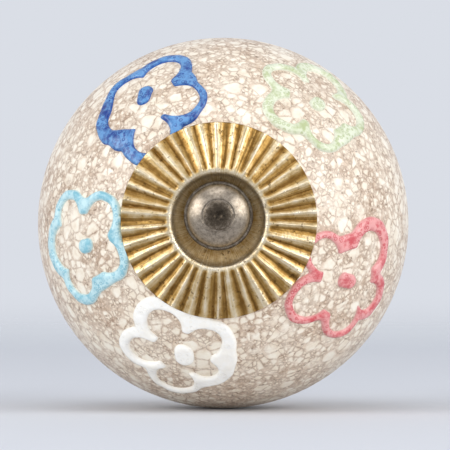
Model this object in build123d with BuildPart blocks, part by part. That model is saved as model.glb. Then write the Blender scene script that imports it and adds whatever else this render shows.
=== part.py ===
from build123d import *
import os
from math import asin, atan2, cos, degrees, hypot, pi, radians, sin, sqrt, tan

# Cabinet knob: a glazed ceramic ball with trailed flowers, clamped between a pleated brass
# rosette and a back cup by one bolt. Sizes are in millimetres.
# The front of the knob faces -Y, the stud runs into the drawer along +Y, and the origin is
# the middle of the face that meets the drawer front.

# Ball
ball_r = 20.0
front_flat_r = 8.7  # flat under the rosette
back_flat_r = 9.7  # flat on the cup
hang = 0.45  # how far the ball and rosette hang below the bolt in their loose bores
bore_play = 0.1

# Back cup
cup_height = 5.0
cup_wall = 0.8
cup_inset = 1.5  # from the edge of the ball's flat to the edge of the cup's seat
cup_flare = 1.3
cup_foot = 1.2  # width of the rim that meets the drawer
cup_hole_gap = 0.1

# Rosette
sheet = 0.5
rim_seat = 1.4  # width of the band that bears on the ball outside its flat
well_gap = 0.65  # from the bolt head to the wall of the well
well_flare = 0.8
crown_rise = 2.1  # inner ends of the crests above the ball's flat
flute_count = 38
flute_depth = 0.5  # at the rim; the pleats run to a point on the axis

# Bolt and nut
shank_r = 1.75  # rolled shank, and the pitch surface where bolt and nut meet
stud_r = 2.0  # crests of the thread behind the mounting face
stud_length = 28.0
stud_chamfer = 0.5
head_r = 3.55
head_edge = 0.8
head_lip = 0.3  # flat rim of the head round its dome
dome_rise = 1.5
dimple_r = 0.45
dimple_depth = 0.25
nut_flats = 7.0
nut_height = 3.2
thread_gap = 0.04

# Flowers: beads of enamel on the ball
relief = 0.45
rosette_gap = 0.1

# Each flower lies at a clock angle round the knob, its middle as far from the rosette's rim as
# from_rim gives along the ball. Its outline is a disc (waist) with round petals and, where the
# enamel ran together, pools. A disc (heart) and a lobe in each petal open it. A petal is its
# lobe's place across and outward from the flower's middle, the lobe's radius and the width of
# the bead round it. A heart or pool is its place and radius. The dot is long and round-ended:
# place, length, width, and how far it is turned from lying across.
flowers = {
    "flower_blue": dict(
        clock=329, from_rim=6.34, waist=5.6, heart=(-0.5, 0.0, 3.7), dot=(0.0, 0.4, 2.7, 1.7, 55),
        petals=[(2.8, 2.75, 2.0, 1.2), (2.85, -2.7, 2.1, 0.8), (-1.5, -5.0, 2.0, 1.4),
                (-2.9, -0.3, 1.9, 1.6), (-1.1, 2.6, 2.1, 1.0)],
        pools=[(2.4, -4.5, 1.6), (-4.3, -2.9, 1.45)],
    ),
    "flower_green": dict(
        clock=40, from_rim=7.74, waist=5.1, heart=(0.0, 0.0, 3.2), dot=(0.0, 0.0, 2.2, 1.7, 90),
        petals=[(2.6, 2.3, 1.7, 1.1), (2.2, -2.7, 1.5, 0.95), (-1.8, -3.6, 1.6, 1.2),
                (-4.1, 0.6, 1.7, 1.0), (-1.3, 4.3, 1.9, 1.3)],
        pools=[],
    ),
    "flower_pink": dict(
        clock=115, from_rim=5.82, waist=5.0, heart=(0.2, 0.2, 3.6), dot=(0.0, -0.1, 2.6, 1.6, 98),
        petals=[(3.5, 2.2, 1.9, 0.85), (3.4, -3.2, 2.0, 0.85), (-1.4, -4.2, 1.7, 0.8),
                (-3.8, 1.5, 2.0, 1.4), (0.6, 4.5, 1.5, 1.2)],
        pools=[],
    ),
    "flower_white": dict(
        clock=195, from_rim=5.47, waist=5.5, heart=(0.25, -0.1, 2.95), dot=(0.0, 0.0, 3.1, 2.0, 102),
        petals=[(4.0, 1.3, 1.75, 1.25), (2.7, -3.1, 1.85, 1.55), (-1.8, -2.4, 1.8, 1.35),
                (-2.5, 1.4, 1.3, 1.55), (0.4, 4.4, 2.0, 0.95)],
        pools=[],
    ),
    "flower_turquoise": dict(
        clock=259.5, from_rim=4.95, waist=4.9, heart=(0.0, 0.0, 3.2), dot=(0.0, 0.1, 2.0, 1.6, 90),
        petals=[(3.3, 2.2, 1.75, 1.1), (2.5, -2.4, 1.8, 0.95), (-1.6, -2.5, 1.65, 1.05),
                (-3.1, 2.3, 1.9, 1.1), (0.3, 3.8, 2.2, 1.35)],
        pools=[],
    ),
}

# Sections are drawn as radius against distance forward, towards the front of the knob:
# from the mounting face for what is on the bolt, from the ball's centre for what hangs on it.


def ball_height(radius):
    return sqrt(ball_r**2 - radius**2)


front_flat = ball_height(front_flat_r)
back_flat = ball_height(back_flat_r)
bore_r = shank_r + hang + bore_play
ball_forward = cup_height + back_flat
head_forward = ball_forward + front_flat + sheet
ball_centre = (0, -ball_forward, -hang)
ball_axis = Axis(ball_centre, (0, -1, 0))
bolt_axis = Axis((0, 0, 0), (0, -1, 0))
ball_section = Plane(ball_centre, x_dir=(1, 0, 0), z_dir=(0, 0, -1))
bolt_section = Plane((0, 0, 0), x_dir=(1, 0, 0), z_dir=(0, 0, -1))
ball_front = Plane(ball_centre, x_dir=(1, 0, 0), z_dir=(0, -1, 0))

os.makedirs("parts", exist_ok=True)

# Ball: turned about its own axis, with a flat at each end and a loose bore
with BuildPart() as ceramic_ball:
    with BuildSketch(ball_section):
        with BuildLine():
            Polyline((front_flat_r, front_flat), (bore_r, front_flat), (bore_r, -back_flat),
                     (back_flat_r, -back_flat))
            ThreePointArc((back_flat_r, -back_flat), (ball_r, 0), (front_flat_r, front_flat))
        make_face()
    revolve(axis=ball_axis)
ceramic_ball.part.label = "ceramic_ball"
export_step(ceramic_ball.part, "parts/ceramic_ball.step")

# Rosette: a stamped cup with a well for the bolt head and a pleated skirt that bears on the ball.
# Its pleats are a star-shaped pyramid, whose ridges and valleys all run to one peak on the
# ball's axis, so they widen and deepen from the crown to the rim.
rosette_r = front_flat_r + rim_seat
well_floor_r = head_r + well_gap
crown_r = well_floor_r + well_flare
well_floor = front_flat + sheet
crown_top = front_flat + crown_rise
rim_valley = ball_height(rosette_r) + sheet
ridge_fall = (crown_top - rim_valley - flute_depth) / (rosette_r - crown_r)
peak = crown_top + ridge_fall * crown_r
valley_fall = (peak - rim_valley) / rosette_r
pleat_base = front_flat - crown_rise
pleat_sides = 2 * flute_count
star = []
for side in range(pleat_sides):
    turn = 2 * pi * side / pleat_sides
    reach = (peak - pleat_base) / (valley_fall if side % 2 else ridge_fall)
    star.append((reach * cos(turn), reach * sin(turn)))
well_depth = peak - well_floor
well_lean = degrees(atan2(well_flare, crown_top - well_floor))
under_crown_r = crown_r + sheet
under_crown = peak - valley_fall * under_crown_r - sheet
seat_middle_r = rosette_r - rim_seat / 2
with BuildPart() as front_rosette:
    with BuildSketch(ball_front.offset(pleat_base), mode=Mode.PRIVATE) as star_base:
        Polygon(*star, align=None)
    loft(sections=[star_base.sketch.face(), Vertex(0, -ball_forward - peak, -hang)])
    with BuildSketch(ball_front.offset(pleat_base)):
        RegularPolygon(rosette_r, pleat_sides)
        Circle(bore_r, mode=Mode.SUBTRACT)
    extrude(amount=peak - pleat_base, mode=Mode.INTERSECT)
    with BuildSketch(ball_front.offset(well_floor)):
        RegularPolygon(well_floor_r, pleat_sides)
    extrude(amount=well_depth, taper=-well_lean, mode=Mode.SUBTRACT)
    # The hollow underside, down to its seat on the ball
    with BuildSketch(ball_section):
        with BuildLine():
            ThreePointArc((rosette_r, ball_height(rosette_r)), (seat_middle_r, ball_height(seat_middle_r)),
                          (front_flat_r, front_flat))
            Polyline((front_flat_r, front_flat), (under_crown_r, under_crown),
                     (well_floor_r + sheet, front_flat), (0, front_flat), (0, pleat_base),
                     (rosette_r, pleat_base), (rosette_r, ball_height(rosette_r)))
        make_face()
    revolve(axis=ball_axis, mode=Mode.SUBTRACT)
front_rosette.part.label = "front_rosette"
export_step(front_rosette.part, "parts/front_rosette.step")

# Bolt: a domed head with a dimple, a rolled shank and the stud behind it
dome_r = head_r - head_lip
dome_base = head_forward + head_edge
dome_curve_r = (dome_r**2 + dome_rise**2) / (2 * dome_rise)


def on_dome(radius, sunk=0):
    return (radius, dome_base + dome_rise - dome_curve_r + sqrt(dome_curve_r**2 - radius**2) - sunk)


with BuildPart() as through_bolt:
    with BuildSketch(bolt_section):
        with BuildLine():
            Polyline((0, -stud_length), (stud_r - stud_chamfer, -stud_length),
                     (stud_r, stud_chamfer - stud_length), (stud_r, 0), (shank_r, 0),
                     (shank_r, head_forward), (head_r, head_forward), (head_r, head_forward + head_edge),
                     on_dome(dome_r))
            ThreePointArc(on_dome(dome_r), on_dome((dome_r + dimple_r) / 2), on_dome(dimple_r))
            Polyline(on_dome(dimple_r), on_dome(0, dimple_depth), (0, -stud_length))
        make_face()
    revolve(axis=bolt_axis)
through_bolt.part.label = "through_bolt"
export_step(through_bolt.part, "parts/through_bolt.step")

# Back cup: its web bears on the ball, its rim on the drawer front
cup_hole_r = stud_r + cup_hole_gap
cup_seat_r = back_flat_r - cup_inset
cup_rim_r = cup_seat_r + cup_flare
with BuildPart() as back_cup:
    with BuildSketch(bolt_section):
        with BuildLine():
            Polyline((cup_hole_r, cup_height), (cup_seat_r, cup_height), (cup_rim_r, 0),
                     (cup_rim_r - cup_foot, 0), (cup_seat_r - cup_wall, cup_height - cup_wall),
                     (cup_hole_r, cup_height - cup_wall), close=True)
        make_face()
    revolve(axis=bolt_axis)
back_cup.part.label = "back_cup"
export_step(back_cup.part, "parts/back_cup.step")

# Lock nut: inside the cup, clear of the drawer front
nut_front = cup_height - cup_wall
nut_back = nut_front - nut_height
with BuildPart() as lock_nut:
    with BuildSketch(Plane((0, -nut_back, 0), x_dir=(1, 0, 0), z_dir=(0, -1, 0))):
        RegularPolygon(nut_flats / 2, 6, major_radius=False)
        Circle(shank_r + thread_gap, mode=Mode.SUBTRACT)
    extrude(amount=nut_height)
lock_nut.part.label = "lock_nut"
export_step(lock_nut.part, "parts/lock_nut.step")

# Flowers: every edge of a bead stands square on the ball, so each round of an outline is cut by
# a cone from the ball's centre
bead_top_r = ball_r + relief
cone_start = ball_r / 2
cone_end = bead_top_r + relief
from_start = (Align.CENTER, Align.CENTER, Align.MIN)


def flower_plane(clock, from_rim):
    around = radians(clock)
    lean = asin(rosette_r / ball_r) + from_rim / ball_r
    outward = (sin(lean) * sin(around), -cos(lean), sin(lean) * cos(around))
    return Plane(ball_centre, x_dir=(cos(around), 0, -sin(around)), z_dir=outward)


def round_on_ball(plane, across, outward, radius, mode):
    on_ball = plane.from_local_coords((across, outward, ball_height(hypot(across, outward))))
    spread = tan(asin(radius / ball_r))
    with Locations(Plane(ball_centre, z_dir=on_ball - Vector(ball_centre)).offset(cone_start)):
        Cone(cone_start * spread, cone_end * spread, cone_end - cone_start, align=from_start, mode=mode)


for name, flower in flowers.items():
    plane = flower_plane(flower["clock"], flower["from_rim"])
    with BuildPart() as bead:
        round_on_ball(plane, 0, 0, flower["waist"], Mode.ADD)
        for across, outward, lobe_r, width in flower["petals"]:
            round_on_ball(plane, across, outward, lobe_r + width, Mode.ADD)
        for across, outward, pool_r in flower["pools"]:
            round_on_ball(plane, across, outward, pool_r, Mode.ADD)
        round_on_ball(plane, *flower["heart"], Mode.SUBTRACT)
        for across, outward, lobe_r, width in flower["petals"]:
            round_on_ball(plane, across, outward, lobe_r, Mode.SUBTRACT)
        dot_across, dot_outward, dot_length, dot_width, dot_turn = flower["dot"]
        with BuildSketch(plane.offset(cone_start)):
            with Locations((dot_across, dot_outward)):
                SlotOverall(dot_length, dot_width, rotation=dot_turn)
        extrude(amount=cone_end - cone_start)
        with Locations(ball_centre):
            Sphere(bead_top_r, mode=Mode.INTERSECT)
            Sphere(ball_r, mode=Mode.SUBTRACT)
        # Beads that would run on under the rosette end at its rim
        with Locations(ball_front):
            Cylinder(rosette_r + rosette_gap, 2 * bead_top_r, mode=Mode.SUBTRACT)
    bead.part.label = name
    export_step(bead.part, f"parts/{name}.step")
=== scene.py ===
import math

import bmesh
import bpy
import numpy as np
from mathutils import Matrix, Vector, noise


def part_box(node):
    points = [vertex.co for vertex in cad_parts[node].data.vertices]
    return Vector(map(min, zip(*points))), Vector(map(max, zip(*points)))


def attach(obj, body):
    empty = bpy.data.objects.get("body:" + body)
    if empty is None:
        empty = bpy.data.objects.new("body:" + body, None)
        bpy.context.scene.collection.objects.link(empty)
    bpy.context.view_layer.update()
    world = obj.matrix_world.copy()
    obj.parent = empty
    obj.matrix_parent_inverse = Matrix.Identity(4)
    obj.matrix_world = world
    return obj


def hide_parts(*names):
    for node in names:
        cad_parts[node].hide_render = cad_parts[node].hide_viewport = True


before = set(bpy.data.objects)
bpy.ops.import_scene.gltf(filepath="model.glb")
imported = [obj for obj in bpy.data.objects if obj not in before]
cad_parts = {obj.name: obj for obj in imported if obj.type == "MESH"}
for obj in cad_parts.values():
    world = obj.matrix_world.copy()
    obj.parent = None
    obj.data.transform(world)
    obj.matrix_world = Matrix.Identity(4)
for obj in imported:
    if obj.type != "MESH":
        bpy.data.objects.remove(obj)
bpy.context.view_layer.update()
print("frame loaded:", ", ".join(sorted(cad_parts)))

# Sizes are in millimetres as on the solids, and become metres where a mesh is made.
# Sections are drawn as radius against distance forward, towards the front of the knob.
mm = 0.001
weldDistance = 0.0005 * mm  # points closer than this are one
ball = {"radius": 20.0, "frontFlatRadius": 8.7, "backFlatRadius": 9.7, "bore": 2.3,
        "backEdgeRound": 0.6, "roundSteps": 6, "segments": 160, "ringStep": 2.4, "sharp": 35}
ballLow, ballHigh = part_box("ceramic_ball")


def ballHeight(radius):
    return math.sqrt(ball["radius"] ** 2 - radius ** 2)


hang = -(ballLow.z + ballHigh.z) / 2 / mm  # the ball hangs this far below the bolt
ballBack = -ballHigh.y / mm
ballCentre = Vector((0, -(ballBack + ballHeight(ball["backFlatRadius"])), -hang)) * mm
boltCentre = Vector((0, 0, 0))


def hexColour(code):
    channels = [int(code[i:i + 2], 16) / 255 for i in (1, 3, 5)]
    return [c / 12.92 if c <= 0.04045 else ((c + 0.055) / 1.055) ** 2.4 for c in channels] + [1.0]


def fillInputs(tree, sockets, values):
    for key, value in values.items():
        if isinstance(value, bpy.types.NodeSocket):
            tree.links.new(value, sockets[key])
        else:
            sockets[key].default_value = value


# A kind with no family name is a shader node. Inputs go in by place or by name, as links or values.
# A ramp's stops are a position and a colour.
def addNode(tree, kind, *inputs, named=None, out=0, stops=(), **settings):
    node = tree.nodes.new(kind if "Node" in kind else "ShaderNode" + kind)
    for name, value in settings.items():
        setattr(node, name, value)
    fillInputs(tree, node.inputs, {**dict(enumerate(inputs)), **(named or {})})
    for i, (position, code) in enumerate(stops):
        elements = node.color_ramp.elements
        stop = elements[i] if i < 2 else elements.new(position)
        stop.position = position
        stop.color = hexColour(code)
    return node if out is None else node.outputs[out]


def newMaterial(name):
    material = bpy.data.materials.new(name)
    material.use_nodes = True
    tree = material.node_tree
    place = addNode(tree, "TexCoord", out="Object")
    return material, tree, tree.nodes["Principled BSDF"].inputs, place


# The inputs of a pattern that is one size in millimetres, on Object coordinates in metres
def sized(place, sizeMm):
    return {"Vector": place, "Scale": 1000.0 / sizeMm}


# A Mix node's sockets share their names, so they go by number: its share, two values or two colours
mixShare, mixLow, mixHigh, mixUnder, mixOver = 0, 2, 3, 6, 7
colourMix = {"data_type": "RGBA", "out": 2}
smooth = {"interpolation_type": "SMOOTHSTEP"}


# Crackle-glazed stoneware, poured and fired: cream islands of glaze in all sizes, their corners
# rounded, lie in a web of fine cracks where brown stain has soaked in, denser in some patches, under
# a soft gloss. An island is its cell's size and how rare it is.
def crackleGlaze():
    look = {"webCell": 0.34, "islands": ((0.5, -0.05), (0.85, 0.1), (1.45, 0.36)), "shore": 0.21,
            "crack": 0.09, "patch": 5.5, "warp": 0.2, "warpSize": 0.6, "soak": 1.2, "spot": 0.5,
            "sparse": (0.22, 0.58), "stain": (0.55, 1.0), "lotBlur": (-0.06, 0.08),
            "rounding": (0.46, 0.74), "crackDark": (0.1, 0.75), "roughness": (0.32, 0.5), "relief": 0.03,
            "cream": [(0.35, "#fcf4e4"), (0.55, "#f4e8d4"), (0.72, "#e7d7bf")],
            "web": [(0.0, "#ead9c4"), (0.5, "#d8c0a7"), (1.0, "#bea48b")],
            "crackColour": "#8f725e", "spotColour": "#7b624c"}
    material, tree, surface, place = newMaterial("crackle_glazed_stoneware")
    bend = addNode(tree, "TexNoise", out="Color", named={
        **sized(place, look["warpSize"]), "Detail": 3.0, "Roughness": 0.6})
    bend = addNode(tree, "VectorMath", bend, (0.5, 0.5, 0.5), operation="SUBTRACT")
    warp = [2 * look["warp"] * mm] * 3
    bent = addNode(tree, "VectorMath", bend, warp, place, operation="MULTIPLY_ADD")
    patch = addNode(tree, "TexNoise", named={
        **sized(place, look["patch"]), "Detail": 3.0, "Roughness": 0.6})
    # Noise seldom leaves 0.35 to 0.65, so the ranges that read it lie near there
    sparse = addNode(tree, "MapRange", patch, 0.38, 0.64, *look["sparse"])
    stain = addNode(tree, "MapRange", patch, 0.36, 0.62, *look["stain"])
    soak = addNode(tree, "TexNoise", named={
        **sized(place, look["soak"]), "Detail": 4.0, "Roughness": 0.65})
    cream = addNode(tree, "ValToRGB", soak, stops=look["cream"])
    pattern = sized(bent, look["webCell"])
    lot = addNode(tree, "TexVoronoi", named=pattern, out="Color", feature="F1")
    lot = addNode(tree, "SeparateColor", lot)
    web = addNode(tree, "ValToRGB", lot, stops=look["web"])
    crack = addNode(tree, "TexVoronoi", named=pattern, feature="DISTANCE_TO_EDGE")
    crack = addNode(tree, "MapRange", crack, 0.0, look["crack"] / look["webCell"], 1.0, 0.0, **smooth)
    # An island is a cell drawn by lot, more rarely a large one, which then lies over the small ones
    pale = 0.0
    for cell, rarity in look["islands"]:
        pattern = sized(bent, cell)
        cells = addNode(tree, "TexVoronoi", named=pattern, out=None, feature="F1").outputs
        lot = addNode(tree, "SeparateColor", cells["Color"])
        drawn = addNode(tree, "Math", lot, sparse, operation="SUBTRACT")
        drawn = addNode(tree, "MapRange", drawn, *[rarity + blur for blur in look["lotBlur"]])
        edge = addNode(tree, "TexVoronoi", named=pattern, feature="DISTANCE_TO_EDGE")
        shore = addNode(tree, "MapRange", edge, 0.0, look["shore"] / cell, **smooth)
        rounded = addNode(tree, "MapRange", cells["Distance"], *look["rounding"], 1.0, 0.0, **smooth)
        shore = addNode(tree, "Math", shore, rounded, operation="MULTIPLY")
        pale = addNode(tree, "Mix", drawn, named={mixLow: pale, mixHigh: shore})
        outline = addNode(tree, "MapRange", edge, 0.0, look["crack"] / cell, 1.0, 0.0, **smooth)
        crack = addNode(tree, "Mix", drawn, named={mixLow: crack, mixHigh: outline})
    bare = addNode(tree, "MapRange", pale, 0.0, 1.0, stain, 0.0)
    glaze = addNode(tree, "Mix", **colourMix, named={mixShare: bare, mixUnder: cream, mixOver: web})
    depth = addNode(tree, "MapRange", soak, 0.36, 0.64, *look["crackDark"])
    crack = addNode(tree, "Math", crack, depth, operation="MULTIPLY")
    glaze = addNode(tree, "Mix", **colourMix, named={
        mixShare: crack, mixUnder: glaze, mixOver: hexColour(look["crackColour"])})
    spot = addNode(tree, "TexNoise", named={**sized(place, look["spot"]), "Detail": 2.0})
    spot = addNode(tree, "MapRange", spot, 0.62, 0.74, **smooth)
    spot = addNode(tree, "Math", spot, bare, operation="MULTIPLY")
    colour = addNode(tree, "Mix", **colourMix, named={
        mixShare: spot, mixUnder: glaze, mixOver: hexColour(look["spotColour"])})
    dull = addNode(tree, "MapRange", crack, 0.0, 1.0, *look["roughness"])
    sunk = addNode(tree, "Math", crack, -1.0, operation="MULTIPLY")
    bump = addNode(tree, "Bump", named={"Strength": 0.4, "Distance": look["relief"] * mm, "Height": sunk})
    fillInputs(tree, surface, {"Base Color": colour, "Roughness": dull, "IOR": 1.5, "Normal": bump})
    return material


# Trailed enamel, squeezed on by hand and fired: glossy and thick in the middle of a bead, another
# tone where it thins out on the glaze, pooled darker in places and frothy with bubbles in others
def trailedEnamel(name, deep, light, edge):
    look = {"pool": 1.3, "bubble": 0.45, "froth": 1.8, "frothy": 0.85, "thin": (0.05, 0.6), "edgeTone": 0.8,
            "roughness": 0.25, "ripple": 0.5, "relief": 0.08}
    material, tree, surface, place = newMaterial(name)
    pooled = addNode(tree, "TexNoise", named={
        **sized(place, look["pool"]), "Detail": 5.0, "Roughness": 0.7})
    pooled = addNode(tree, "MapRange", pooled, 0.38, 0.62, **smooth)
    body = addNode(tree, "Mix", **colourMix, named={
        mixShare: pooled, mixUnder: hexColour(deep), mixOver: hexColour(light)})
    bubble = addNode(tree, "TexVoronoi", feature="F1", named=sized(place, look["bubble"]))
    foam = addNode(tree, "ValToRGB", bubble, stops=[(0.16, light), (0.36, deep), (0.56, light)])
    froth = addNode(tree, "TexNoise", named={**sized(place, look["froth"]), "Detail": 1.0})
    froth = addNode(tree, "MapRange", froth, 0.46, 0.58, 0.0, look["frothy"], **smooth)
    body = addNode(tree, "Mix", **colourMix, named={mixShare: froth, mixUnder: body, mixOver: foam})
    thick = addNode(tree, "Attribute", out="Fac", attribute_name="thickness")
    thin = addNode(tree, "MapRange", thick, *look["thin"], look["edgeTone"], 0.0, **smooth)
    colour = addNode(tree, "Mix", **colourMix, named={
        mixShare: thin, mixUnder: body, mixOver: hexColour(edge)})
    ripple = addNode(tree, "TexNoise", named={**sized(place, look["ripple"]), "Detail": 2.0})
    hole = addNode(tree, "MapRange", bubble, 0.1, 0.3, froth, 0.0, **smooth)
    height = addNode(tree, "Math", ripple, hole, operation="SUBTRACT")
    bump = addNode(tree, "Bump", named={
        "Strength": 0.7, "Distance": look["relief"] * mm, "Height": height})
    fillInputs(tree, surface, {
        "Base Color": colour, "Roughness": look["roughness"], "IOR": 1.52, "Normal": bump})
    return material


# Stamped brass, antiqued and rubbed back: pale gold on the ridges, brown in the valleys, dull in the well
# and browner down to its floor, partly patina and partly painted shade, pitted, with fine drag marks from
# the die that run out from the middle. The shares say how far a ridge, a stain and a drag mark each lift
# the tone from where it starts.
def antiqueBrass():
    look = {"patina": 1.0, "drag": 0.16, "dragAtRadius": 7.5, "pit": 0.42, "grain": 0.25,
            "toneStart": -0.68, "ridgeShare": 0.7, "stainShare": 0.75, "dragShare": 0.65,
            "tones": [(0.0, "#7c5a2b"), (0.3, "#b08c50"), (0.62, "#dcc69c"), (0.95, "#fbf2df")],
            "pitDark": 0.6, "pitColour": "#553c1c", "dullness": (0.44, 0.26), "wellDullness": 0.36,
            "dragRelief": 1.5, "relief": 0.07}
    material, tree, surface, place = newMaterial("antiqued_stamped_brass")
    ridge = addNode(tree, "Attribute", out="Fac", attribute_name="ridge")
    stain = addNode(tree, "TexNoise", named={
        **sized(place, look["patina"]), "Detail": 5.0, "Roughness": 0.65})
    toAxis = (0, 0, hang * mm)
    radial = addNode(tree, "VectorMath", place, (1, 0, 1), toAxis, operation="MULTIPLY_ADD")
    radial = addNode(tree, "VectorMath", radial, operation="NORMALIZE")
    drag = addNode(tree, "TexNoise", named={
        "Vector": radial, "Scale": look["dragAtRadius"] / look["drag"], "Detail": 3.0})
    rubbed = look["toneStart"]
    for part, lift in ((ridge, look["ridgeShare"]), (stain, look["stainShare"]), (drag, look["dragShare"])):
        rubbed = addNode(tree, "Math", part, lift, rubbed, operation="MULTIPLY_ADD")
    colour = addNode(tree, "ValToRGB", rubbed, stops=look["tones"])
    pit = addNode(tree, "TexNoise", named={**sized(place, look["pit"]), "Detail": 3.0, "Roughness": 0.6})
    pit = addNode(tree, "MapRange", pit, 0.6, 0.7, **smooth)
    dark = addNode(tree, "Math", pit, look["pitDark"], operation="MULTIPLY")
    colour = addNode(tree, "Mix", **colourMix, named={
        mixShare: dark, mixUnder: colour, mixOver: hexColour(look["pitColour"])})
    dull = addNode(tree, "MapRange", rubbed, 0.0, 0.9, *look["dullness"])
    well = addNode(tree, "Attribute", out="Fac", attribute_name="well")
    dull = addNode(tree, "Math", well, look["wellDullness"], dull, operation="MULTIPLY_ADD")
    grain = addNode(tree, "TexNoise", named={**sized(place, look["grain"]), "Detail": 3.0})
    grain = addNode(tree, "Math", drag, look["dragRelief"], grain, operation="MULTIPLY_ADD")
    height = addNode(tree, "Math", grain, pit, operation="SUBTRACT")
    bump = addNode(tree, "Bump", named={
        "Strength": 0.6, "Distance": look["relief"] * mm, "Height": height})
    fillInputs(tree, surface, {"Base Color": colour, "Metallic": 1.0, "Roughness": dull, "Normal": bump})
    return material


# Nickel-plated steel, turned and tarnished: warm grey and mottled, with a painted dark reflection near the
# axis, in the middle of the head, and painted shade at the head's edge. Mottling, the painted reflection
# and the painted shade lower or raise the tone.
def tarnishedNickel():
    look = {"mottle": 0.35, "mottling": 1.25, "darkReflectionTo": 0.3, "reflectionGoneFrom": 2.1, "middleReflectionTone": (-0.5, 0.1),
            "edgeFrom": 3.1, "edgeTo": 3.5, "edgeTone": (0.0, -0.35),
            "tones": [(0.0, "#332d26"), (0.4, "#5e5346"), (0.85, "#b0a392")],
            "dullness": (0.48, 0.3), "relief": 0.03}
    material, tree, surface, place = newMaterial("tarnished_nickel_plate")
    fromAxis = addNode(tree, "VectorMath", place, (1, 0, 1), operation="MULTIPLY")
    fromAxis = addNode(tree, "VectorMath", fromAxis, operation="LENGTH", out="Value")
    mottle = addNode(tree, "TexNoise", named={
        **sized(place, look["mottle"]), "Detail": 5.0, "Roughness": 0.8})
    # Near the axis, in the middle of the head, the tone is lowered: a painted dark reflection
    nickelTone = addNode(tree, "MapRange", fromAxis, look["darkReflectionTo"] * mm, look["reflectionGoneFrom"] * mm,
                    *look["middleReflectionTone"], **smooth)
    nickelTone = addNode(tree, "Math", mottle, look["mottling"], nickelTone, operation="MULTIPLY_ADD")
    # Out at the head's edge, where it sits in the well, the tone is lowered: painted shade
    edge = addNode(tree, "MapRange", fromAxis, look["edgeFrom"] * mm, look["edgeTo"] * mm,
                   *look["edgeTone"])
    nickelTone = addNode(tree, "Math", nickelTone, edge, operation="ADD")
    colour = addNode(tree, "ValToRGB", nickelTone, stops=look["tones"])
    dull = addNode(tree, "MapRange", nickelTone, 0.0, 0.9, *look["dullness"])
    bump = addNode(tree, "Bump", named={
        "Strength": 0.4, "Distance": look["relief"] * mm, "Height": mottle})
    fillInputs(tree, surface, {"Base Color": colour, "Metallic": 1.0, "Roughness": dull, "Normal": bump})
    return material


glazeMaterial = crackleGlaze()
brassMaterial = antiqueBrass()
nickelMaterial = tarnishedNickel()
print("materials made")


def showMesh(name, mesh, material, sharpDegrees):
    piece = bpy.data.objects.new(name, mesh)
    bpy.context.scene.collection.objects.link(piece)
    mesh.materials.clear()
    mesh.materials.append(material)
    mesh.polygons.foreach_set("use_smooth", [True] * len(mesh.polygons))
    mesh.set_sharp_from_angle(angle=math.radians(sharpDegrees))
    return piece


def tidyMesh(mesh, weld=weldDistance):
    work = bmesh.new()
    work.from_mesh(mesh)
    bmesh.ops.remove_doubles(work, verts=work.verts, dist=weld)
    bmesh.ops.recalc_face_normals(work, faces=work.faces)
    work.to_mesh(mesh)
    work.free()
    return mesh


# Corners are (radius, forward, how much of each side the rounding takes)
def roundedRun(corners, steps):
    stations = []
    for i, (radius, forward, setback) in enumerate(corners):
        if setback == 0 or i in (0, len(corners) - 1):
            stations.append((radius, forward))
            continue
        corner = Vector((radius, forward))
        before = Vector(corners[i - 1][:2]) - corner
        after = Vector(corners[i + 1][:2]) - corner
        start = corner + before.normalized() * setback
        end = corner + after.normalized() * setback
        for k in range(steps + 1):
            s = k / steps
            stations.append(tuple((1 - s) ** 2 * start + 2 * s * (1 - s) * corner + s ** 2 * end))
    return stations


def ringFaces(rings, segments, closed):
    faces = []
    for i in range(rings if closed else rings - 1):
        here, there = i * segments, (i + 1) % rings * segments
        for k in range(segments):
            following = (k + 1) % segments
            faces.append((here + k, here + following, there + following, there + k))
    return faces


def spunMesh(name, stations, segments, centre, closed):
    turn = np.linspace(0, 2 * math.pi, segments, endpoint=False)
    radius = np.array([s[0] for s in stations])[:, None]
    forward = np.array([s[1] for s in stations])[:, None]
    verts = np.stack([radius * np.cos(turn), -forward + 0 * turn, radius * np.sin(turn)], axis=-1) * mm
    verts = verts.reshape(-1, 3) + np.array(centre)
    mesh = bpy.data.meshes.new(name)
    mesh.from_pydata(verts.tolist(), [], ringFaces(len(stations), segments, closed))
    return mesh


# Ball
ballFront = ballHeight(ball["frontFlatRadius"])
ballRear = ballHeight(ball["backFlatRadius"])
arcFrom = math.atan2(-ballRear, ball["backFlatRadius"]) + ball["backEdgeRound"] / ball["radius"]
arcTo = math.atan2(ballFront, ball["frontFlatRadius"])
arcCount = round(math.degrees(arcTo - arcFrom) / ball["ringStep"])
ballArc = [arcFrom + (arcTo - arcFrom) * i / arcCount for i in range(arcCount + 1)]
arcStations = [(ball["radius"] * math.cos(a), ball["radius"] * math.sin(a)) for a in ballArc]
ballStations = [(ball["bore"], ballFront), (ball["bore"], -ballRear)]
ballStations += roundedRun([
    (ball["bore"], -ballRear, 0), (ball["backFlatRadius"], -ballRear, ball["backEdgeRound"]),
    (*arcStations[0], 0)], ball["roundSteps"])[1:-1]
ballStations += arcStations
ballMesh = tidyMesh(spunMesh("glazed_ball", ballStations, ball["segments"], ballCentre, True))
glazedBall = showMesh("glazed_ball", ballMesh, glazeMaterial, ball["sharp"])
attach(glazedBall, "root")
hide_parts("ceramic_ball")
print("ball:", len(ballMesh.polygons), "faces")


def newTree(name, sockets):
    tree = bpy.data.node_groups.new(name, "GeometryNodeTree")
    tree.interface.new_socket("Geometry", in_out="INPUT", socket_type="NodeSocketGeometry")
    tree.interface.new_socket("Geometry", in_out="OUTPUT", socket_type="NodeSocketGeometry")
    for kind, labels in sockets.items():
        for label in labels:
            tree.interface.new_socket(label, in_out="INPUT", socket_type="NodeSocket" + kind)
    return tree, addNode(tree, "NodeGroupInput", out=None).outputs


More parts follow.
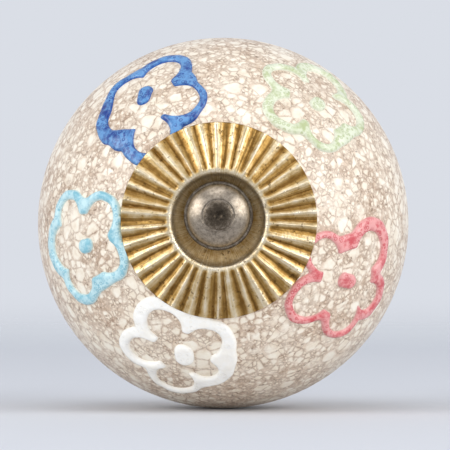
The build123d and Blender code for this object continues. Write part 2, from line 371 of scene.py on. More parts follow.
def grownMesh(name, tree, base, values):
    holder = bpy.data.objects.new(name, base)
    bpy.context.scene.collection.objects.link(holder)
    modifier = holder.modifiers.new(name, "NODES")
    modifier.node_group = tree
    for item in tree.interface.items_tree:
        if item.in_out == "INPUT" and item.name in values:
            modifier[item.identifier] = values[item.name]
    evaluated = holder.evaluated_get(bpy.context.evaluated_depsgraph_get())
    mesh = bpy.data.meshes.new_from_object(evaluated)
    mesh.name = name
    holder.modifiers.remove(modifier)
    bpy.data.objects.remove(holder)
    return mesh


def finishTree(tree, geometry, material):
    joined = addNode(tree, "GeometryNodeMergeByDistance", geometry, named={"Distance": weldDistance})
    real = addNode(tree, "GeometryNodeRealizeInstances", joined)
    painted = addNode(tree, "GeometryNodeSetMaterial", real, named={"Material": material})
    addNode(tree, "NodeGroupOutput", painted, out=None)
    return tree


# A grid that is bent into a body of revolution: its rows are stations and its columns turns
def turnedGrid(tree, stations, turns):
    columns = addNode(tree, "Math", turns, 1.0, operation="ADD")
    grid = addNode(tree, "GeometryNodeMeshGrid", named={"Vertices X": stations, "Vertices Y": columns})
    index = addNode(tree, "GeometryNodeInputIndex")
    row = addNode(tree, "Math", index, 0.5, operation="ADD")
    row = addNode(tree, "Math", row, columns, operation="DIVIDE")
    row = addNode(tree, "Math", row, operation="FLOOR")
    before = addNode(tree, "Math", row, columns, operation="MULTIPLY")
    column = addNode(tree, "Math", index, before, operation="SUBTRACT")
    turn = addNode(tree, "Math", column, turns, operation="DIVIDE")
    return grid, row, turn


def onCircle(tree, turn):
    angle = addNode(tree, "Math", turn, 2 * math.pi, operation="MULTIPLY")
    return [addNode(tree, "Math", angle, operation=side) for side in ("COSINE", "SINE")]


def turnedPlace(tree, radius, turn, forward, centre):
    x, z = [addNode(tree, "Math", radius, side, operation="MULTIPLY") for side in onCircle(tree, turn)]
    y = addNode(tree, "Math", forward, -1.0, operation="MULTIPLY")
    local = addNode(tree, "CombineXYZ", x, y, z)
    return addNode(tree, "VectorMath", local, centre, operation="ADD")


# Goes from 1 on a ridge to 0 in a valley as phase grows by one, more pointed as sharpness nears 1
def pointedWave(tree, phase, sharpness):
    wave = addNode(tree, "Math", phase, 2 * math.pi, operation="MULTIPLY")
    wave = addNode(tree, "Math", wave, operation="COSINE")
    wave = addNode(tree, "Math", wave, sharpness, operation="MULTIPLY")
    wave = addNode(tree, "Math", wave, operation="ARCSINE")
    most = addNode(tree, "Math", sharpness, operation="ARCSINE")
    wave = addNode(tree, "Math", wave, most, operation="DIVIDE")
    return addNode(tree, "Math", wave, 0.5, 0.5, operation="MULTIPLY_ADD")


# Rosette: the section of the stamped sheet is turned by a node tree, which lowers it between the ridges
rosette = {"rimSeat": 1.4, "sheet": 0.5, "wellGap": 0.65, "wellFlare": 0.8, "crownRise": 2.1,
           "flutes": 38, "fluteDepth": 0.5, "sharpness": 0.996, "wander": 0.9, "wanderScale": 5.0,
           "bend": 25.0, "seed": 4.2, "wellRound": 0.95, "crownRound": 0.8, "edgeRound": 0.12,
           "roundSteps": 8, "fluteFrom": 0.1, "crownFade": 0.4, "turnsPerFlute": 18, "headRadius": 3.55,
           "skirtStep": 0.45, "underDrop": 1.1, "rimTouch": 0.001, "lipDrop": 0.4, "wellTarnishAndShade": 0.45,
           "sharp": 50}


def pleatedSheetTree():
    tree, given = newTree("pleated_sheet", {
        "Int": ["Stations", "Turns", "Flutes"],
        "Float": ["Depth", "Rim Radius", "Sharpness", "Wander", "Bend", "Seed", "Well Floor", "Crown Top"],
        "Vector": ["Centre"]})
    grid, row, turn = turnedGrid(tree, given["Stations"], given["Turns"])
    position = addNode(tree, "GeometryNodeInputPosition")
    section = addNode(tree, "GeometryNodeSampleIndex", given["Geometry"], data_type="FLOAT_VECTOR",
                      named={"Value": position, "Index": row})
    section = addNode(tree, "SeparateXYZ", section, out=None).outputs
    radius, forward, share = section["X"], section["Y"], section["Z"]
    # The flutes are cut by hand: they wander round the rosette, and bend a little on their way out
    ringX, ringY = onCircle(tree, turn)
    ringZ = addNode(tree, "Math", radius, given["Bend"], given["Seed"], operation="MULTIPLY_ADD")
    ring = addNode(tree, "CombineXYZ", ringX, ringY, ringZ)
    drift = addNode(tree, "TexNoise", named={
        "Vector": ring, "Scale": rosette["wanderScale"], "Detail": 2.0})
    drift = addNode(tree, "Math", drift, given["Wander"], operation="MULTIPLY")
    phase = addNode(tree, "Math", turn, given["Flutes"], drift, operation="MULTIPLY_ADD")
    high = pointedWave(tree, phase, given["Sharpness"])
    low = addNode(tree, "Math", 1.0, high, operation="SUBTRACT")
    outward = addNode(tree, "Math", radius, given["Rim Radius"], operation="DIVIDE")
    drop = addNode(tree, "Math", given["Depth"], outward, operation="MULTIPLY")
    drop = addNode(tree, "Math", drop, low, operation="MULTIPLY")
    drop = addNode(tree, "Math", drop, share, operation="MULTIPLY")
    forward = addNode(tree, "Math", forward, drop, operation="SUBTRACT")
    place = turnedPlace(tree, radius, turn, forward, given["Centre"])
    # The lip is rubbed bright, and the well in it is duller and browner down to its floor, partly patina
    # and partly painted shade
    plain = addNode(tree, "Math", 1.0, share, operation="SUBTRACT")
    inWell = addNode(tree, "MapRange", section["Y"], given["Well Floor"], given["Crown Top"], 1.0, 0.0)
    inWell = addNode(tree, "Math", inWell, plain, operation="MULTIPLY")
    plain = addNode(tree, "Math", inWell, -rosette["wellTarnishAndShade"], plain, operation="MULTIPLY_ADD")
    ridge = addNode(tree, "Math", high, share, plain, operation="MULTIPLY_ADD")
    for name, value in (("ridge", ridge), ("well", inWell)):
        grid = addNode(tree, "GeometryNodeStoreNamedAttribute", grid, data_type="FLOAT", domain="POINT",
                       named={"Name": name, "Value": value})
    bent = addNode(tree, "GeometryNodeSetPosition", grid, named={"Position": place})
    return finishTree(tree, bent, brassMaterial)


rimRadius = ball["frontFlatRadius"] + rosette["rimSeat"]
wellFloorRadius = rosette["headRadius"] + rosette["wellGap"]
crownRadius = wellFloorRadius + rosette["wellFlare"]
wellFloor = ballFront + rosette["sheet"]
crownTop = ballFront + rosette["crownRise"]
rimSeat = ballHeight(rimRadius)
rimTop = rimSeat + rosette["sheet"] + rosette["fluteDepth"]
underCrown = crownRadius + rosette["sheet"]
topRun = roundedRun([
    (ball["bore"], ballFront, 0), (ball["bore"], wellFloor, rosette["edgeRound"]),
    (wellFloorRadius, wellFloor, rosette["wellRound"]), (crownRadius, crownTop, rosette["crownRound"]),
    (rimRadius, rimTop, rosette["edgeRound"]), (rimRadius, rimSeat, 0)], rosette["roundSteps"])
underRun = [(ball["frontFlatRadius"], ballFront), (underCrown, crownTop - rosette["underDrop"]),
            (wellFloorRadius + rosette["sheet"], ballFront)]
rosetteStations = []
for (radius, forward), (nextRadius, nextForward) in zip(topRun, topRun[1:] + underRun[:1]):
    topCount = len(rosetteStations)  # the last run is the underside, which sits on the ball
    outBy, forwardBy = nextRadius - radius, nextForward - forward
    pieces = max(1, math.ceil(math.hypot(outBy, forwardBy) / rosette["skirtStep"]))
    for k in range(pieces):
        s = k / pieces
        rosetteStations.append((radius + outBy * s, forward + forwardBy * s))
rosetteStations += underRun + [rosetteStations[0]]
section = bpy.data.meshes.new("rosette_section")
sectionPoints = []
for i, (radius, forward) in enumerate(rosetteStations):
    share = 0.0  # of the pleats' full depth
    if i < topCount:
        share = (radius - crownRadius - rosette["fluteFrom"]) / rosette["crownFade"]
        share = min(1.0, max(0.0, share))
        share = share * share * (3 - 2 * share)
        if radius > rimRadius - rosette["rimTouch"]:
            share *= min(1.0, max(0.0, (forward - rimSeat) / (rimTop - rimSeat)))
    sectionPoints.append((radius * mm, forward * mm, share))
section.from_pydata(sectionPoints, [], [])
rosetteMesh = grownMesh("pleated_rosette", pleatedSheetTree(), section, {
    "Stations": len(sectionPoints), "Turns": rosette["flutes"] * rosette["turnsPerFlute"],
    "Flutes": rosette["flutes"], "Depth": rosette["fluteDepth"] * mm, "Rim Radius": rimRadius * mm,
    "Sharpness": rosette["sharpness"], "Wander": rosette["wander"], "Bend": rosette["bend"],
    "Seed": rosette["seed"], "Well Floor": wellFloor * mm,
    "Crown Top": (crownTop - rosette["lipDrop"]) * mm, "Centre": ballCentre})
pleatedRosette = showMesh("pleated_rosette", tidyMesh(rosetteMesh), brassMaterial, rosette["sharp"])
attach(pleatedRosette, "root")
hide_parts("front_rosette")
print("rosette:", len(rosetteMesh.polygons), "faces")

# Bolt: its head and shank are turned, and its thread grown by a node tree from the same ring of points
bolt = {"shankRadius": 1.75, "threadRadius": 2.0, "threadDepth": 0.4, "pitch": 0.7, "stepsPerPitch": 8,
        "threadSharpness": 0.96, "studLength": 28.0, "endChamfer": 0.5, "headEdge": 0.8, "lip": 0.3,
        "domeRise": 1.5, "ringRadius": 1.55, "ringWidth": 0.34, "ringDepth": 0.13, "dimpleRadius": 0.45,
        "dimpleDepth": 0.25, "creaseDepth": 0.03, "creaseWidth": 0.06, "creaseRound": 0.03,
        "headRound": 0.14, "seatRound": 0.08, "roundSteps": 5, "domeSteps": 64, "segments": 64, "sharp": 45}


def rolledThreadTree():
    tree, given = newTree("rolled_thread", {
        "Int": ["Stations", "Turns"],
        "Float": ["Radius", "Depth", "Pitch", "Sharpness", "Length", "Shank Radius", "Chamfer"],
        "Vector": ["Centre"]})
    grid, row, turn = turnedGrid(tree, given["Stations"], given["Turns"])
    # The first row is on the shank and the last is the middle of the stud's end
    lastRow = addNode(tree, "Math", given["Stations"], 1.0, operation="SUBTRACT")
    threadRows = addNode(tree, "Math", lastRow, 2.0, operation="SUBTRACT")
    along = addNode(tree, "Math", row, 1.0, operation="SUBTRACT")
    along = addNode(tree, "Math", along, threadRows, operation="DIVIDE")
    along = addNode(tree, "Clamp", along)
    depthIn = addNode(tree, "Math", along, given["Length"], operation="MULTIPLY")
    climb = addNode(tree, "Math", depthIn, given["Pitch"], operation="DIVIDE")
    climb = addNode(tree, "Math", climb, turn, operation="SUBTRACT")
    crest = pointedWave(tree, climb, given["Sharpness"])
    groove = addNode(tree, "Math", 1.0, crest, operation="SUBTRACT")
    groove = addNode(tree, "Math", groove, given["Depth"], operation="MULTIPLY")
    radius = addNode(tree, "Math", given["Radius"], groove, operation="SUBTRACT")
    toEnd = addNode(tree, "Math", given["Length"], depthIn, operation="SUBTRACT")
    bevel = addNode(tree, "Math", given["Radius"], given["Chamfer"], operation="SUBTRACT")
    bevel = addNode(tree, "Math", bevel, toEnd, operation="ADD")
    radius = addNode(tree, "Math", radius, bevel, operation="MINIMUM")
    notLast = addNode(tree, "Math", row, lastRow, operation="LESS_THAN")
    radius = addNode(tree, "Math", radius, notLast, operation="MULTIPLY")
    first = addNode(tree, "Math", row, 0.5, operation="LESS_THAN")
    notFirst = addNode(tree, "Math", 1.0, first, operation="SUBTRACT")
    shank = addNode(tree, "Math", first, given["Shank Radius"], operation="MULTIPLY")
    radius = addNode(tree, "Math", radius, notFirst, shank, operation="MULTIPLY_ADD")
    forward = addNode(tree, "Math", depthIn, -1.0, operation="MULTIPLY")
    place = turnedPlace(tree, radius, turn, forward, given["Centre"])
    bent = addNode(tree, "GeometryNodeSetPosition", grid, named={"Position": place})
    return finishTree(tree, bent, nickelMaterial)


headRadius = rosette["headRadius"]
headForward = -ballCentre.y / mm + wellFloor
domeRadius = headRadius - bolt["lip"]
domeBase = headForward + bolt["headEdge"]
domeCurve = (domeRadius ** 2 + bolt["domeRise"] ** 2) / (2 * bolt["domeRise"])


def onDome(radius):
    ringOff = abs(radius - bolt["ringRadius"]) / (bolt["ringWidth"] / 2)
    sunk = bolt["ringDepth"] * max(0.0, 1 - ringOff ** 2)
    sunk += bolt["dimpleDepth"] * max(0.0, 1 - (radius / bolt["dimpleRadius"]) ** 2)
    return domeBase + bolt["domeRise"] - domeCurve + math.sqrt(domeCurve ** 2 - radius ** 2) - sunk


domeRadii = [domeRadius * i / bolt["domeSteps"] for i in range(bolt["domeSteps"] + 1)]
headStations = [(radius, onDome(radius)) for radius in domeRadii]
headStations += roundedRun([
    (domeRadius, domeBase - bolt["creaseDepth"], 0),
    (domeRadius + bolt["creaseWidth"], domeBase, bolt["creaseRound"]),
    (headRadius, domeBase, bolt["headRound"]), (headRadius, headForward, bolt["seatRound"]),
    (bolt["shankRadius"], headForward, 0), (bolt["shankRadius"], 0, 0)], bolt["roundSteps"])
boltMesh = spunMesh("domed_bolt", headStations, bolt["segments"], boltCentre, False)
threadSteps = math.ceil(bolt["studLength"] / bolt["pitch"] * bolt["stepsPerPitch"])
threadStations = threadSteps + 3  # one more than its steps, one on the shank and one for the stud's end
threadMesh = grownMesh("rolled_thread", rolledThreadTree(), bpy.data.meshes.new("thread_base"), {
    "Stations": threadStations, "Turns": bolt["segments"], "Radius": bolt["threadRadius"] * mm,
    "Depth": bolt["threadDepth"] * mm, "Pitch": bolt["pitch"] * mm, "Sharpness": bolt["threadSharpness"],
    "Length": bolt["studLength"] * mm, "Shank Radius": bolt["shankRadius"] * mm,
    "Chamfer": bolt["endChamfer"] * mm, "Centre": boltCentre})
work = bmesh.new()
work.from_mesh(boltMesh)
work.from_mesh(threadMesh)
work.to_mesh(boltMesh)
work.free()
domedBolt = showMesh("domed_bolt", tidyMesh(boltMesh), nickelMaterial, bolt["sharp"])
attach(domedBolt, "root")
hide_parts("through_bolt")
print("bolt:", len(boltMesh.polygons), "faces")

# Back cup
cup = {"wall": 0.8, "foot": 1.2, "hole": 2.1, "seatInset": 1.5, "edge": 0.25, "roundSteps": 5,
       "segments": 128, "sharp": 40, "rubbed": 0.55}
cupLow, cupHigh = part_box("back_cup")
cupHeight = -cupLow.y / mm
cupRim = cupHigh.x / mm
cupSeat = ball["backFlatRadius"] - cup["seatInset"]
cupStations = roundedRun([
    (cup["hole"], cupHeight - cup["wall"], 0), (cup["hole"], cupHeight, cup["edge"] / 2),
    (cupSeat, cupHeight, cup["edge"]), (cupRim, 0, cup["edge"]), (cupRim - cup["foot"], 0, cup["edge"]),
    (cupSeat - cup["wall"], cupHeight - cup["wall"], 2 * cup["edge"]),
    (cup["hole"], cupHeight - cup["wall"], 0)], cup["roundSteps"])
cupMesh = tidyMesh(spunMesh("turned_cup", cupStations, cup["segments"], boltCentre, False))
turnedCup = showMesh("turned_cup", cupMesh, brassMaterial, cup["sharp"])
cupRidge = cupMesh.attributes.new("ridge", "FLOAT", "POINT")
cupRidge.data.foreach_set("value", [cup["rubbed"]] * len(cupMesh.vertices))
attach(turnedCup, "root")
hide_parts("back_cup")
print("cup:", len(cupMesh.polygons), "faces")

# Lock nut: hexagon with turned corners
nut = {"flats": 7.0, "corner": 0.35, "chamferDrop": 0.3, "hole": 1.79, "face": 0.12, "segments": 120,
       "sharp": 20}
nutLow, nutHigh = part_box("lock_nut")
nutFront = -nutLow.y / mm
nutBack = -nutHigh.y / mm


def hexRadius(angle):
    off = (angle + math.pi / 6) % (math.pi / 3) - math.pi / 6
    return nut["flats"] / 2 / math.cos(off)


nutVerts = []
nutCorner = nut["flats"] / 2 / math.cos(math.pi / 6)
nutFace = nut["flats"] / 2 - nut["face"]
nutRows = [(nut["hole"], nutBack, 0), (nut["hole"], nutFront, 0), (nutFace, nutFront, 0),
           (nutCorner, nutFront, 1), (nutCorner, nutBack, -1), (nutFace, nutBack, 0)]
for radius, forward, side in nutRows:
    for k in range(nut["segments"]):
        angle = 2 * math.pi * k / nut["segments"]
        reach = hexRadius(angle) if side else radius
        proud = max(0.0, reach - nut["flats"] / 2 + nut["face"])
        height = forward - side * proud * nut["chamferDrop"] / nut["corner"]
        nutVerts.append((reach * math.sin(angle) * mm, -height * mm, reach * math.cos(angle) * mm))
nutMesh = bpy.data.meshes.new("hex_nut")
nutMesh.from_pydata(nutVerts, [], ringFaces(len(nutRows), nut["segments"], True))
hexNut = showMesh("hex_nut", tidyMesh(nutMesh), nickelMaterial, nut["sharp"])
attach(hexNut, "root")
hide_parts("lock_nut")
print("nut:", len(nutMesh.polygons), "faces")

# Flowers: each lies at a clock angle round the knob, its middle fromRim along the ball from the
# rosette's rim. Its outline is a disc (waist) with round petals and, where the enamel ran together,
# pools. A disc (heart) and a lobe in each petal open it. A petal is its lobe's place across and
# outward, the lobe's radius and the width of the bead round it. A heart or pool is its place and
# radius. The dot is long and round-ended: place, length, width, turn. Its colours are the deep and
# the light enamel and the tone at its thin edges.
beads = {"relief": 0.45, "shoulder": 0.5, "soften": 0.16, "wobble": 0.16, "wobbleSize": 1.7,
         "unevenness": 0.35, "unevenSize": 2.6, "sink": 0.5, "sway": 0.7, "lowest": 0.3, "ripple": 0.12,
         "rippleSize": 0.9, "seed": 5, "firstLayer": 1.3, "layerStep": 3.7, "rosetteGap": 0.005,
         "step": 0.13, "margin": 0.6, "nearEdge": 0.002, "settleTurns": 3, "nudge": 0.02, "flattest": 0.2,
         "edgeDepth": 0.03, "thinnest": 0.01, "sliver": 0.01, "weld": 0.004, "sharp": 75}
flowers = {
    "blue": dict(
        clock=329, fromRim=6.34, waist=5.6, heart=(-0.5, 0.0, 3.7), dot=(0.0, 0.4, 2.7, 1.7, 55),
        petals=[(2.8, 2.75, 2.0, 1.2), (2.85, -2.7, 2.1, 0.8), (-1.5, -5.0, 2.0, 1.4),
                (-2.9, -0.3, 1.9, 1.6), (-1.1, 2.6, 2.1, 1.0)],
        pools=[(2.4, -4.5, 1.6), (-4.3, -2.9, 1.45)], colours=("#023484", "#6197cc", "#0c479c")),
    "green": dict(
        clock=40, fromRim=7.74, waist=5.1, heart=(0.0, 0.0, 3.2), dot=(0.0, 0.0, 2.2, 1.7, 90),
        petals=[(2.6, 2.3, 1.7, 1.1), (2.2, -2.7, 1.5, 0.95), (-1.8, -3.6, 1.6, 1.2),
                (-4.1, 0.6, 1.7, 1.0), (-1.3, 4.3, 1.9, 1.3)],
        pools=[], colours=("#b5bf8e", "#e3e7cf", "#e9e9d8")),
    "pink": dict(
        clock=115, fromRim=5.82, waist=5.0, heart=(0.2, 0.2, 3.6), dot=(0.0, -0.1, 2.6, 1.6, 98),
        petals=[(3.5, 2.2, 1.9, 0.85), (3.4, -3.2, 2.0, 0.85), (-1.4, -4.2, 1.7, 0.8),
                (-3.8, 1.5, 2.0, 1.4), (0.6, 4.5, 1.5, 1.2)],
        pools=[], colours=("#cb5257", "#eca6a2", "#e4a9a4")),
    "white": dict(
        clock=195, fromRim=5.47, waist=5.5, heart=(0.25, -0.1, 2.95), dot=(0.0, 0.0, 3.1, 2.0, 102),
        petals=[(4.0, 1.3, 1.75, 1.25), (2.7, -3.1, 1.85, 1.55), (-1.8, -2.4, 1.8, 1.35),
                (-2.5, 1.4, 1.3, 1.55), (0.4, 4.4, 2.0, 0.95)],
        pools=[], colours=("#fdf9ef", "#fffdf7", "#f9f3e6")),
    "turquoise": dict(
        clock=259.5, fromRim=4.95, waist=4.9, heart=(0.0, 0.0, 3.2), dot=(0.0, 0.1, 2.0, 1.6, 90),
        petals=[(3.3, 2.2, 1.75, 1.1), (2.5, -2.4, 1.8, 0.95), (-1.6, -2.5, 1.65, 1.05),
                (-3.1, 2.3, 1.9, 1.1), (0.3, 3.8, 2.2, 1.35)],
        pools=[], colours=("#82bccb", "#c6e5e9", "#d4e6e0")),
}


def softMost(depths):
    stack = np.stack(depths) / beads["soften"]
    top = stack.max(axis=0)
    return (top + np.log(np.exp(stack - top).sum(axis=0))) * beads["soften"]


# How deep a point lies inside a bead, in millimetres: positive on enamel, negative on bare glaze
def beadDepth(flower, across, outward):
    def inDisc(x, y, radius):
        return radius - np.hypot(across - x, outward - y)

    petals = flower["petals"]
    outer = [inDisc(0, 0, flower["waist"])] + [inDisc(*pool) for pool in flower["pools"]]
    outer = softMost(outer + [inDisc(x, y, lobe + width) for x, y, lobe, width in petals])
    inner = softMost([inDisc(*flower["heart"])] + [inDisc(x, y, lobe) for x, y, lobe, _ in petals])
    outline = -softMost([-outer, inner])
    dotAcross, dotOutward, length, width, turn = flower["dot"]
    turn = math.radians(turn)
    u = (across - dotAcross) * math.cos(turn) + (outward - dotOutward) * math.sin(turn)
    v = -(across - dotAcross) * math.sin(turn) + (outward - dotOutward) * math.cos(turn)
    u = np.abs(u) - (length - width) / 2
    dot = width / 2 - np.hypot(np.maximum(u, 0), v)
    return np.maximum(outline, dot)


# Each flower reads its own layer of the noise
def wobbled(across, outward, layer):
    shifted = np.empty((len(across), 2))
    for i, (x, y) in enumerate(zip(across, outward)):
        point = Vector((x, y, layer)) / beads["wobbleSize"]
        shift = noise.noise_vector(point)
        shifted[i] = (x + shift.x * beads["wobble"], y + shift.y * beads["wobble"])
    return shifted[:, 0], shifted[:, 1]


def flowerAxes(flower):
    around = math.radians(flower["clock"])
    lean = math.asin(rimRadius / ball["radius"]) + flower["fromRim"] / ball["radius"]
    out = Vector((math.sin(lean) * math.sin(around), -math.cos(lean), math.sin(lean) * math.cos(around)))
    across = Vector((math.cos(around), 0, -math.sin(around)))
    return np.array(across), np.array(out.cross(across)), np.array(out)


# Cells that touch an edge become triangles, split the better way, and slivers are left out
def edgeTriangles(cells, x, y, least):
    def areas(triangles):
        a, b, c = triangles[:, 0], triangles[:, 1], triangles[:, 2]
        return ((x[b] - x[a]) * (y[c] - y[a]) - (x[c] - x[a]) * (y[b] - y[a])) / 2

    halves = [cells[:, order] for order in ((0, 1, 2), (0, 2, 3), (1, 2, 3), (1, 3, 0))]
    sizes = [areas(half) for half in halves]
    better = np.minimum(sizes[0], sizes[1]) >= np.minimum(sizes[2], sizes[3])
    first = np.where(better[:, None], halves[0], halves[2])
    second = np.where(better[:, None], halves[1], halves[3])
    triangles = np.vstack([first, second])
    return triangles[areas(triangles) > least]


# A bead is a grid of points on the ball, raised where there is enamel, and closed underneath
def enamelFlower(name, flower, layer):
    acrossAxis, outwardAxis, outAxis = flowerAxes(flower)
    reach = max(math.hypot(x, y) + lobe + width for x, y, lobe, width in flower["petals"])
    reach = max(reach, flower["waist"]) + beads["margin"]
    count = round(2 * reach / beads["step"])
    line = np.linspace(-reach, reach, count + 1)
    across, outward = [g.ravel() for g in np.meshgrid(line, line, indexing="ij")]
    rimReach = rimRadius + beads["rosetteGap"]

    def onBall(x, y):
        return (acrossAxis * x[:, None] + outwardAxis * y[:, None]
                + outAxis * np.sqrt(ball["radius"] ** 2 - x ** 2 - y ** 2)[:, None])

    def fields(x, y):
        depth = beadDepth(flower, *wobbled(x, y, layer))
        place = onBall(x, y)
        return depth, np.minimum(depth, np.hypot(place[:, 0], place[:, 2]) - rimReach)

    inside = fields(across, outward)[1]
    grid = np.arange((count + 1) ** 2).reshape(count + 1, count + 1)
    cells = np.stack([grid[:-1, :-1], grid[1:, :-1], grid[1:, 1:], grid[:-1, 1:]], axis=-1)
    cells = cells.reshape(-1, 4)
    cells = cells[(inside[cells] > 0).any(axis=1)]
    used = np.unique(cells)
    across, outward, inside = across[used], outward[used], inside[used]
    renumber = np.full((count + 1) ** 2, -1)
    renumber[used] = np.arange(len(used))
    cells = renumber[cells]
    # Points just outside an edge are drawn onto it
    nudge = beads["nudge"]
    onEdge = inside <= beads["nearEdge"]
    for _ in range(beads["settleTurns"]):
        x, y = across[onEdge], outward[onEdge]
        here = fields(x, y)[1]
        slopeX = (fields(x + nudge, y)[1] - here) / nudge
        slopeY = (fields(x, y + nudge)[1] - here) / nudge
        steep = np.maximum(slopeX ** 2 + slopeY ** 2, beads["flattest"])
        across[onEdge] = x - here * slopeX / steep
        outward[onEdge] = y - here * slopeY / steep
    depth = fields(across, outward)[0]
    depth = np.where(onEdge & (depth < beads["edgeDepth"]), 0, np.maximum(depth, 0))
    rise = np.minimum(depth / beads["shoulder"], 1)
    height = beads["relief"] * np.sqrt(1 - (1 - rise) ** 2)
    base = onBall(across, outward)
    swayLayer, rippleLayer = Vector((layer, 0, 0)), Vector((0, layer, 0))
    sway = np.array([noise.noise(Vector(p) / beads["unevenSize"] + swayLayer) for p in base])
    ripple = np.array([noise.noise(Vector(p) / beads["rippleSize"] + rippleLayer) for p in base])
    sunk = beads["sink"] - beads["sway"] * sway
    uneven = 1 - beads["unevenness"] * sunk + beads["ripple"] * ripple
    height = height * np.clip(uneven, beads["lowest"], 1.0)
    top = base * (1 + height / ball["radius"])[:, None]
    # Where the rosette's rim cuts a bead, its end stands against the rim
    atRim = onEdge & (height > beads["thinnest"])
    top[atRim] *= (rimReach / np.hypot(top[atRim, 0], top[atRim, 2]))[:, None] * [1, 0, 1]
    top[atRim, 1] = -np.sqrt((ball["radius"] + height[atRim]) ** 2 - rimReach ** 2)
    atEdge = onEdge[cells].any(axis=1)
    triangles = edgeTriangles(cells[atEdge], across, outward, beads["sliver"] * beads["step"] ** 2)
    triangles = triangles[(height[triangles] > beads["thinnest"]).any(axis=1)]
    faces = cells[~atEdge].tolist() + triangles.tolist()
    pairs = set()
    for face in faces:
        pairs.update(zip(face, face[1:] + face[:1]))
    total = len(used)
    lower = [[v + total for v in reversed(face)] for face in faces]
    # An open edge gets a wall, except where the enamel runs out to nothing
    walls = [(b, a, a + total, b + total) for a, b in sorted(pairs) if (b, a) not in pairs
             and max(height[a], height[b]) > beads["thinnest"]]
    mesh = bpy.data.meshes.new(name)
    verts = np.vstack([top, base]) * mm + np.array(ballCentre)
    mesh.from_pydata(verts.tolist(), [], faces + lower + walls)
    thickness = mesh.attributes.new("thickness", "FLOAT", "POINT")
    thickness.data.foreach_set("value", np.concatenate([height, height]) / beads["relief"])
    tidyMesh(mesh, beads["weld"] * mm)
    work = bmesh.new()
    work.from_mesh(mesh)
    # The weld can leave a flat face at a thin end, seen by its open edge
    strays = [f for f in work.faces if any(e.is_boundary for e in f.edges)]
    bmesh.ops.delete(work, geom=strays, context="FACES")
    bmesh.ops.delete(work, geom=[v for v in work.verts if not v.link_faces], context="VERTS")
    work.to_mesh(mesh)
    work.free()
    return mesh


noise.seed_set(beads["seed"])  # without this, noise_vector differs from run to run
for number, (colourName, flower) in enumerate(flowers.items()):
    enamel = trailedEnamel("trailed_enamel_" + colourName, *flower["colours"])
    layer = beads["layerStep"] * number + beads["firstLayer"]
    mesh = enamelFlower("enamel_flower_" + colourName, flower, layer)
    piece = showMesh("enamel_flower_" + colourName, mesh, enamel, beads["sharp"])
    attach(piece, "root")
    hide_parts("flower_" + colourName)
    print("flower", colourName + ":", len(mesh.polygons), "faces")

# Floor: pale and matt, faded into the background further off so that no horizon shows
stage = {"nearColour": "#d8dadf", "farColour": "#e0e3e8", "backColour": "#dadee6",
         "nearTo": 0.08, "farFrom": 0.5, "solidTo": 0.25, "goneAt": 2.3, "halfWidth": 2.5,
         "underBall": 0.02, "roughness": 0.8, "specular": 0.2}


def paleFloor():
    material, tree, surface, place = newMaterial("pale_matt_board")
    away = addNode(tree, "VectorMath", place, operation="LENGTH", out="Value")
    # The floor is painted paler further off: painted light that makes up for the lamps lighting the far
    # floor less
    tone = addNode(tree, "MapRange", away, stage["nearTo"], stage["farFrom"], **smooth)
    tone = addNode(tree, "Mix", **colourMix, named={
        mixShare: tone, mixUnder: hexColour(stage["nearColour"]), mixOver: hexColour(stage["farColour"])})
    fillInputs(tree, surface, {
        "Base Color": tone, "Roughness": stage["roughness"], "Specular IOR Level": stage["specular"]})
    nearness = addNode(tree, "Math", 1.0, away, operation="DIVIDE")
    fade = addNode(tree, "MapRange", nearness, 1 / stage["goneAt"], 1 / stage["solidTo"],
                   1.0, 0.0, **smooth)
    clear = addNode(tree, "BsdfTransparent")
    faded = addNode(tree, "MixShader", fade, tree.nodes["Principled BSDF"].outputs[0], clear)
    tree.links.new(faded, tree.nodes["Material Output"].inputs["Surface"])
    mesh = bpy.data.meshes.new("floor")
    half = stage["halfWidth"]
    corners = [(-half, -half, 0), (half, -half, 0), (half, half, 0), (-half, half, 0)]
    mesh.from_pydata(corners, [], [(0, 1, 2, 3)])
    floor = bpy.data.objects.new("floor", mesh)
    bpy.context.scene.collection.objects.link(floor)
    mesh.materials.append(material)
    floor.location = (0, ballCentre.y, ballCentre.z - (ball["radius"] + stage["underBall"]) * mm)
    return floor


paleFloor()


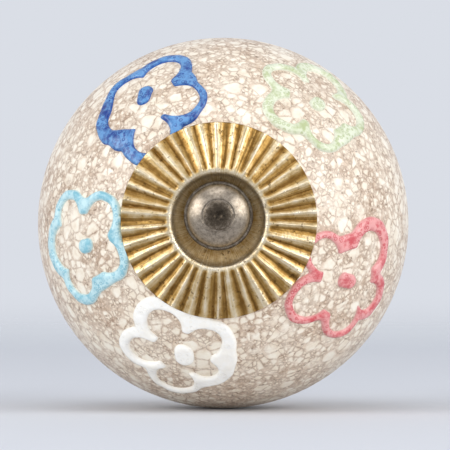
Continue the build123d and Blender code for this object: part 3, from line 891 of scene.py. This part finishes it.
def studioWorld():
    look = {"fillStrength": 0.72}
    world = bpy.data.worlds.new("studio")
    bpy.context.scene.world = world
    world.use_nodes = True
    tree = world.node_tree
    tree.nodes.clear()
    path = addNode(tree, "LightPath", out=None).outputs
    seen = addNode(tree, "Math", path["Is Camera Ray"], path["Is Glossy Ray"], operation="MAXIMUM")
    seen = addNode(tree, "Math", seen, path["Is Transmission Ray"], operation="MAXIMUM")
    fill = addNode(tree, "Background", hexColour(stage["backColour"]), look["fillStrength"])
    back = addNode(tree, "Background", hexColour(stage["backColour"]), 1.0)
    mixed = addNode(tree, "MixShader", seen, fill, back)
    addNode(tree, "OutputWorld", mixed, out=None)


studioWorld()

# Softboxes: a strong one on the right, one nearly as strong on the left, one above in front, and a
# fill from straight in front that leaves no glint
lamps = {
    "rightBox": {"place": (0.67, -0.26, 0.30), "size": 0.54, "power": 2.8, "glint": True},
    "topBox": {"place": (-0.06, -0.19, 0.74), "size": 0.48, "power": 1.0, "glint": True},
    "leftBox": {"place": (-0.67, -0.26, 0.27), "size": 0.48, "power": 2.35, "glint": True},
    "frontFill": {"place": (0.05, -0.50, 0.02), "size": 0.24, "power": 1.0, "glint": False},
}
for lampName, lamp in lamps.items():
    data = bpy.data.lights.new(lampName, "AREA")
    data.shape = "SQUARE"
    data.size = lamp["size"]
    data.energy = lamp["power"]
    box = bpy.data.objects.new(lampName, data)
    bpy.context.scene.collection.objects.link(box)
    box.location = ballCentre + Vector(lamp["place"])
    box.rotation_euler = (-Vector(lamp["place"])).to_track_quat("-Z", "Y").to_euler()
    box.visible_glossy = lamp["glint"]

# Camera: nearly head-on, a touch to the right and below the knob's axis, through a long lens
view = {"azimuth": 1.46, "elevation": -0.9, "distance": 0.35, "focalPixels": 3237, "imagePixels": 450,
        "ballLeft": 1.8, "ballUp": 2.0, "sensor": 36}
azimuth, elevation = math.radians(view["azimuth"]), math.radians(view["elevation"])
towards = Vector((math.sin(azimuth) * math.cos(elevation), -math.cos(azimuth) * math.cos(elevation),
                  math.sin(elevation)))
cameraData = bpy.data.cameras.new("camera")
cameraData.sensor_width = view["sensor"]
cameraData.lens = cameraData.sensor_width * view["focalPixels"] / view["imagePixels"]
cameraData.shift_x = view["ballLeft"] / view["imagePixels"]
cameraData.shift_y = -view["ballUp"] / view["imagePixels"]
camera = bpy.data.objects.new("camera", cameraData)
bpy.context.scene.collection.objects.link(camera)
camera.location = ballCentre + towards * view["distance"]
camera.rotation_euler = (-towards).to_track_quat("-Z", "Y").to_euler()
bpy.context.scene.camera = camera
bpy.context.scene.view_settings.view_transform = "Standard"
print("floor, lamps and camera set")
